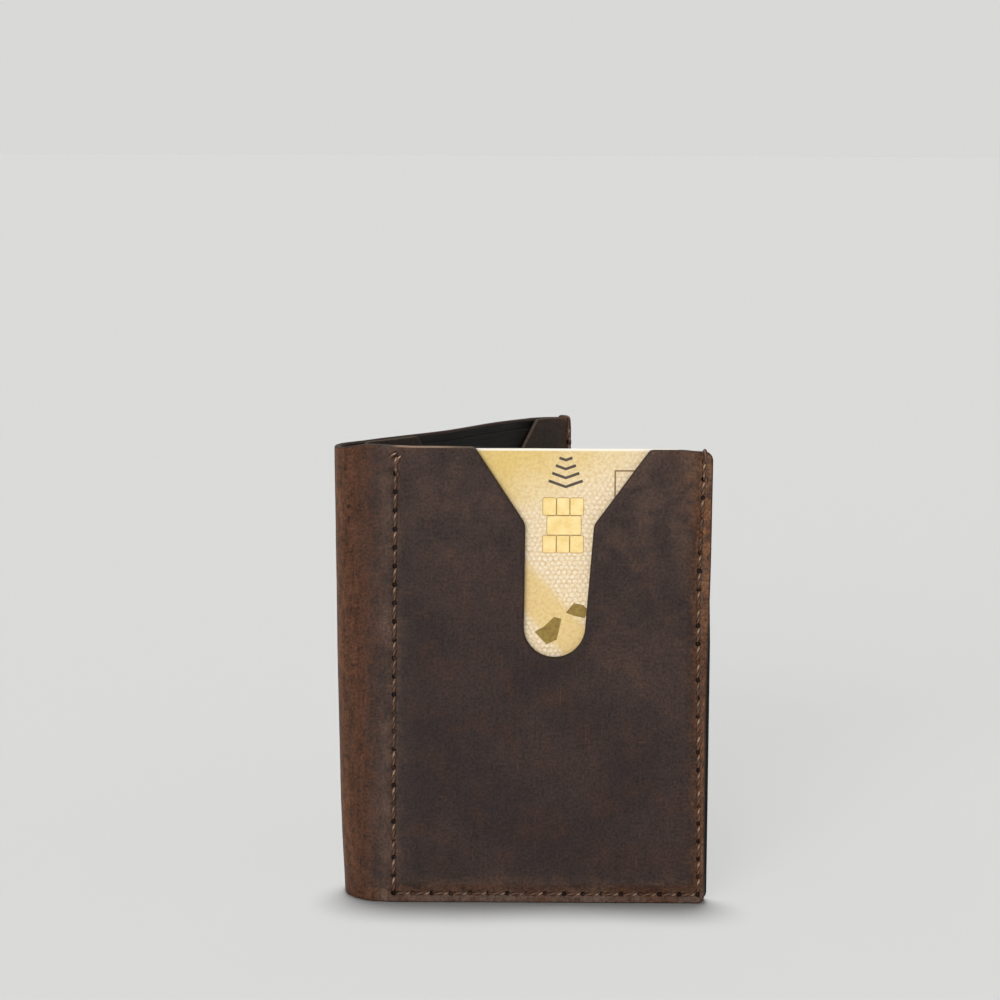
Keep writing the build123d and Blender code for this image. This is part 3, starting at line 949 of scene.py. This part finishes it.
def leather(name, side, tones):
    """Waxed pull-up leather: smoky where it lies flat, redder where it bends, mottled and scuffed."""
    cool, middle, warm, ruddier, paler_tone, orange, raw = (colour(*tone) for tone in tones)
    r = Recipe(name)
    place = r.millimetres()
    across, up = r.parts(place)
    across = across * float(side)
    cloud = r.noise(place, 22.0, 2.0, 0.5, 0.6)
    blotch = r.noise(place, 7.0, 3.0, 0.6, 0.5)
    mottle = r.noise(place, 2.6, 4.0, 0.62, 0.3)
    grit = r.clamped(r.noise(place, 0.62, 3.0, 0.7), 0.30, 0.70)
    streak = r.clamped(r.noise(r.stretched(place, 1.0, 0.20), 1.5, 4.0, 0.62, 0.4), 0.30, 0.70)
    bend = r.attribute("warm")
    ruddy = r.clamped(bend + (mottle - 0.5) * 0.9 + (cloud - 0.5) * 0.7, 0.15, 0.85)
    base = r.mix(r.clamped(cloud, 0.36, 0.66), cool, middle)
    base = r.mix(r.clamped(blotch, 0.46, 0.72) * 0.28, base, warm)
    lane = r.clamped(r.noise(r.stretched(place, 1.0, 0.10), 3.2, 2.0, 0.5, 0.3), 0.36, 0.64)
    base = r.mix(ruddy, base, r.mix(streak * 0.5, warm, r.mix(lane, middle, ruddier)))
    rub = r.attribute("rubbed") * r.clamped(mottle, 0.28, 0.62)
    base = r.mix(rub * 0.85, base, orange)
    # the paler tone, partly a painted highlight beside the spine seam
    amount = r.attribute("pale_tone_and_highlight") * (0.3 + r.clamped(blotch, 0.3, 0.7))
    base = r.mix(amount * 0.42, base, paler_tone)
    dusk = 1.0 + (grit - 0.5) * (0.70 + ruddy * 0.22)
    dusk = dusk + (streak - 0.5) * (0.10 + bend * 0.38) + (mottle - 0.5) * 0.9
    base = r.mix(1.0, base, r.node("CombineColor", dusk, dusk, dusk), "MULTIPLY")
    upright = r.noise(r.stretched(place, 1.0, 0.07), 0.5, 1.0, 0.5, 0.4)
    level = r.noise(r.stretched(place, 0.06, 0.8), 0.6, 1.0, 0.5, 0.5)
    scuff = r.math("MAXIMUM", r.clamped(upright, 0.70, 0.80), r.clamped(level, 0.72, 0.82))
    base = r.mix(scuff * 0.22, base, orange)
    edge = r.clamped(r.attribute("cut"), 0.2, 0.9)
    burnished = r.mix(r.attribute("bare"), colour(30, 22, 18), raw)
    base = r.mix(edge * 0.75, base, burnished)
    holes = needle_holes(r, across, up)
    holes = holes * (0.35 + r.clamped(r.noise(place, 3.1, 2.0), 0.35, 0.58))
    # painted shade: the needle holes are darkened nearly to black for the shade inside them; the awl prick
    # and scratch take the same dark colour
    sewn = r.math("MAXIMUM", holes, pricks(r, across, up) * 0.8)
    base = r.mix(r.clamped(sewn, 0.0, 1.25), base, colour(24, 14, 9))
    pores = r.cells(place, 0.8)
    wrinkle = r.cells(r.stretched(place, 1.0, 0.6), 1.5, "DISTANCE_TO_EDGE")
    height = r.clamped(wrinkle, 0.0, 0.22) * 0.035
    for layer, rise in ((pores, 0.035), (mottle, 0.16), (grit, 0.030), (streak, 0.035)):
        height = height + layer * rise
    r.bump(height - holes * 0.45 - scuff * 0.012, 0.9)
    rough = 0.56 + (mottle - 0.5) * 0.35 + (grit - 0.5) * 0.10
    r.set(Base_Color=base, Roughness=rough, Specular_IOR_Level=0.16)
    return r.material


def cloth(name, dark, light):
    """Close-woven black lining with a soft gloss and faint level ribs."""
    r = Recipe(name)
    place = r.millimetres()
    across, up = r.parts(place)
    weave = r.math("SINE", across * (2 * pi / 0.42)) * r.math("SINE", up * (2 * pi / 0.36))
    slub = r.noise(r.stretched(place, 0.10, 1.0), 0.7, 3.0, 0.6)
    cloud = r.noise(place, 9.0, 3.0, 0.5)
    tone = slub * 0.75 + cloud * 0.35
    r.set(Base_Color=r.mix(r.clamped(tone, 0.35, 0.8), dark, light), Specular_IOR_Level=0.2,
          Roughness=0.52 + slub * 0.2)
    r.bump(weave * 0.018 + slub * 0.10, 0.7)
    return r.material


def sewing_thread():
    """Waxed thread as dark as the leather, with painted shade between its plies and a painted highlight
    towards one end of each stitch, the upper end on the side seams.
    """
    r = Recipe("waxed_thread")
    where = r.node("TexCoord", out=3)
    dirt = r.noise(where, 0.006, 3.0, 0.6)
    ply = r.clamped(r.attribute("ply"), -0.9, 0.7)
    # painted highlight: paler towards the last end of each stitch along its path, where it dives into its
    # upper hole on the side seams, broken up by the dirt noise
    painted_glint = r.clamped(r.attribute("along"), 0.58, 0.80) * r.clamped(dirt, 0.25, 0.60)
    tone = r.mix(painted_glint, r.mix(dirt, colour(68, 46, 33), colour(130, 90, 64)), colour(170, 136, 110))
    # painted shade: the thread is darkened where its surface sinks between the plies
    r.set(Base_Color=r.mix(ply, colour(34, 22, 16), tone), Roughness=0.5, Specular_IOR_Level=0.35)
    r.bump(r.noise(where, 0.0002, 2.0, 0.7) * 0.05, 0.6)
    return r.material


# -------- card
DOT_PITCH = 1.16  # millimetres


def dots(r, across, up, radius, soft):
    """A honeycomb of round dots."""
    nearest = DOT_PITCH
    for shift in (0.0, 0.5):
        offs = [r.math("PINGPONG", place / period + shift, 0.5) * period
                for place, period in ((across, DOT_PITCH), (up, DOT_PITCH * sqrt(3)))]
        nearest = r.math("MINIMUM", nearest, r.distance(*offs))
    return 1.0 - r.clamped(nearest, radius - soft, radius + soft)


def gold_card():
    """Pale gold print: a brushed head, a fine honeycomb of pale dots, and plain gold towards the foot."""
    r = Recipe("gold_card")
    place = r.millimetres()
    across, up = r.parts(place)
    down = card_high.z / MM - up
    aside = across - CARD_MIDDLE / MM
    cloud = r.noise(place, 9.0, 3.0, 0.5, 0.8)
    fleck = r.noise(place, 0.75, 4.0, 0.75)
    warped = r.noise(place, 1.6, 2.0, 0.5)
    turn = down + aside * 0.55 + (cloud - 0.5) * 14.0
    base = r.mix(r.clamped(turn, -5.0, 15.0), colour(230, 198, 114), colour(246, 226, 188))
    gold = down - aside * 1.1
    plain = r.clamped(gold, 31.0, 35.0) * (1.0 - r.clamped(gold, 43.0, 46.0))
    base = r.mix(plain * 0.85, base, colour(232, 200, 126))
    shown = r.clamped(turn, 5.0, 18.0) * (1.0 - plain)
    shown = shown * (0.45 + r.clamped(warped, 0.3, 0.7) * 0.7)
    bent = across + (warped - 0.5) * 0.8
    raised = up + (cloud - 0.5) * 0.9
    spots = dots(r, bent, raised, 0.32, 0.14)
    web = 1.0 - dots(r, bent, raised, 0.48, 0.10)
    base = r.mix(web * shown * 0.50, base, colour(206, 168, 124))
    base = r.mix(spots * shown * 0.62, base, colour(255, 246, 232))
    base = r.mix(r.clamped(fleck, 0.40, 0.66) * 0.50, base, colour(206, 164, 100))
    base = r.mix(1.0 - r.clamped(down, 0.25, 0.6), base, colour(255, 244, 226))
    r.set(Base_Color=base, Roughness=0.38, Specular_IOR_Level=0.45, Coat_Weight=0.25, Coat_Roughness=0.15)
    r.bump(fleck * 0.006, 0.5)
    return r.material


def contact_gold():
    r = Recipe("contact_gold")
    place = r.millimetres()
    tone = r.noise(place, 2.5, 3.0, 0.6)
    fine = r.noise(r.stretched(place, 1.0, 0.08), 0.25, 2.0, 0.6)
    r.set(Base_Color=r.mix(r.clamped(tone, 0.3, 0.7), colour(242, 208, 130), colour(252, 226, 160)),
          Metallic=0.15, Roughness=0.34 + fine * 0.12)
    r.bump(fine * 0.004, 0.6)
    return r.material


def ink(name, tone, deeper):
    r = Recipe(name)
    blot = r.clamped(r.noise(r.millimetres(), 1.1, 3.0, 0.6), 0.3, 0.75)
    r.set(Base_Color=r.mix(blot, colour(*tone), colour(*deeper)), Roughness=0.45)
    return r.material


def finish(piece, material):
    piece.data.materials.clear()
    piece.data.materials.append(material)


# leather tones: cool, middle, warm, redder, paler (also used for a painted highlight), worn orange and raw
# edge
OUTER_HIDE = ((47, 36, 34), (57, 43, 39), (74, 45, 28), (76, 46, 40), (94, 74, 63), (128, 84, 52),
              (142, 118, 98))
INNER_HIDE = ((46, 36, 30), (54, 42, 35), (60, 40, 30), (60, 40, 34), (70, 56, 46), (84, 62, 46),
              (104, 90, 76))
for side, word, cover, leaves in ((FRONT, "front", cover_front, (upper_slot, lower_slot)),
                                  (BACK, "back", cover_back, (back_leaf,))):
    finish(cover, leather("pull_up_leather_" + word, side, OUTER_HIDE))
    thin_hide = leather("pocket_leather_" + word, side, INNER_HIDE)
    for leaf in leaves:
        finish(leaf, thin_hide)
black_cloth = cloth("black_lining", colour(9, 9, 9), colour(37, 34, 30))
waxed_thread = sewing_thread()
for layer in (pocket_lining, slot_backing, back_lining, note_wall, fold_front, fold_back):
    finish(layer, black_cloth)
for piece, *_ in threads:
    finish(piece, waxed_thread)
finish(card_body, gold_card())
finish(chip, contact_gold())
for piece, name, tone, deeper, slot in (
        (dark_print, "dark_print", (62, 50, 40), (84, 68, 52), "card"),
        (gold_print, "dark_gold_print", (128, 96, 20), (158, 132, 44), "card"),
        (line_print, "fine_line_print", (120, 92, 56), (150, 118, 74), "card"),
        (chip_lines, "chip_outline", (184, 142, 80), (204, 164, 98), "chip")):
    finish(piece, ink(name, tone, deeper))


# -------- two points on the spine, and the cover halves and fold linings baked in place
spine_out, _ = directions(FRONT, np.array([0.0]))
spine_middle = tuple(np.array([CENTRE_X, CENTRE_Y, 0.0]) + spine_out[0] * SPINE_RADIUS)
back_start = tuple(lay(BACK, np.array([ARC]), np.array([0.0]), 0.0)[0])
for piece in (cover_front, fold_front):
    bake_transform(piece)
for piece in (cover_back, fold_back):
    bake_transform(piece)


# -------- floor, light and camera
FLOOR_REACH, FLOOR_SIDES = 60.0, 96


def stage_floor():
    """A round pale floor, wide enough for its rim to stand for the horizon."""
    turns = [2 * pi * i / FLOOR_SIDES for i in range(FLOOR_SIDES)]
    rim = [(FLOOR_REACH * cos(turn), FLOOR_REACH * sin(turn), 0.0) for turn in turns]
    floor = make_piece("studio_floor", rim, [tuple(range(FLOOR_SIDES))], np.zeros((FLOOR_SIDES, 2)))
    paper = Recipe("floor_paper")
    paper.set(Base_Color=colour(203, 203, 201), Roughness=0.9, Specular_IOR_Level=0.0)
    floor.data.materials.append(paper.material)


HORIZON_BAND = (0.20, 0.40)  # sines of the heights between which the surround dims


def studio_surround():
    """A soft dim dome overhead, as pale as the floor near the horizon."""
    world = bpy.data.worlds.new("studio")
    world.use_nodes = True
    dome = Graph(world.node_tree)
    climb = dome.clamped(dome.node("SeparateXYZ", dome.node("TexCoord"), out=2), *HORIZON_BAND)
    shade = dome.mix(climb, colour(217, 217, 215), colour(104, 106, 110))
    dome.wire(dome.tree.nodes["Background"].inputs["Color"], shade)
    bpy.context.scene.world = world


def sun(name, travel, strength, spread):
    """A soft lamp whose light travels one way; spread is the angle it fills, in degrees."""
    light = bpy.data.lights.new(name, "SUN")
    light.energy, light.angle = strength, radians(spread)
    placed(name, light).rotation_euler = Vector(travel).to_track_quat("-Z", "Y").to_euler()


LENS, SENSOR = 90.0, 36.0  # millimetres
EYE = (30.6, -529.3, 163.4)  # millimetres from the spine's axis, the front's face and the floor
LOOK_DOWN, LOOK_LEFT, TILT = 8.0, 0.34, 0.2  # degrees


def turned(degrees, axis):
    return Matrix.Rotation(radians(degrees), 3, axis)


def camera():
    """A long lens, a little above the wallet and looking down at it."""
    data = bpy.data.cameras.new("camera")
    data.lens, data.sensor_width = LENS, SENSOR
    eye = placed("camera", data)
    eye.location = Vector((CENTRE_X, SEAM_PLANE, 0)) + Vector(EYE) * MM
    turn = turned(LOOK_LEFT, "Z") @ turned(90 - LOOK_DOWN, "X") @ turned(TILT, "Z")
    eye.rotation_euler = turn.to_euler()
    bpy.context.scene.camera = eye


stage_floor()
studio_surround()
sun("overhead", (0.02, -0.08, -1.0), 2.78, 10)
sun("front_soft", (0.30, 0.86, -0.12), 2.25, 40)
bpy.context.scene.view_settings.view_transform = "Standard"
camera()
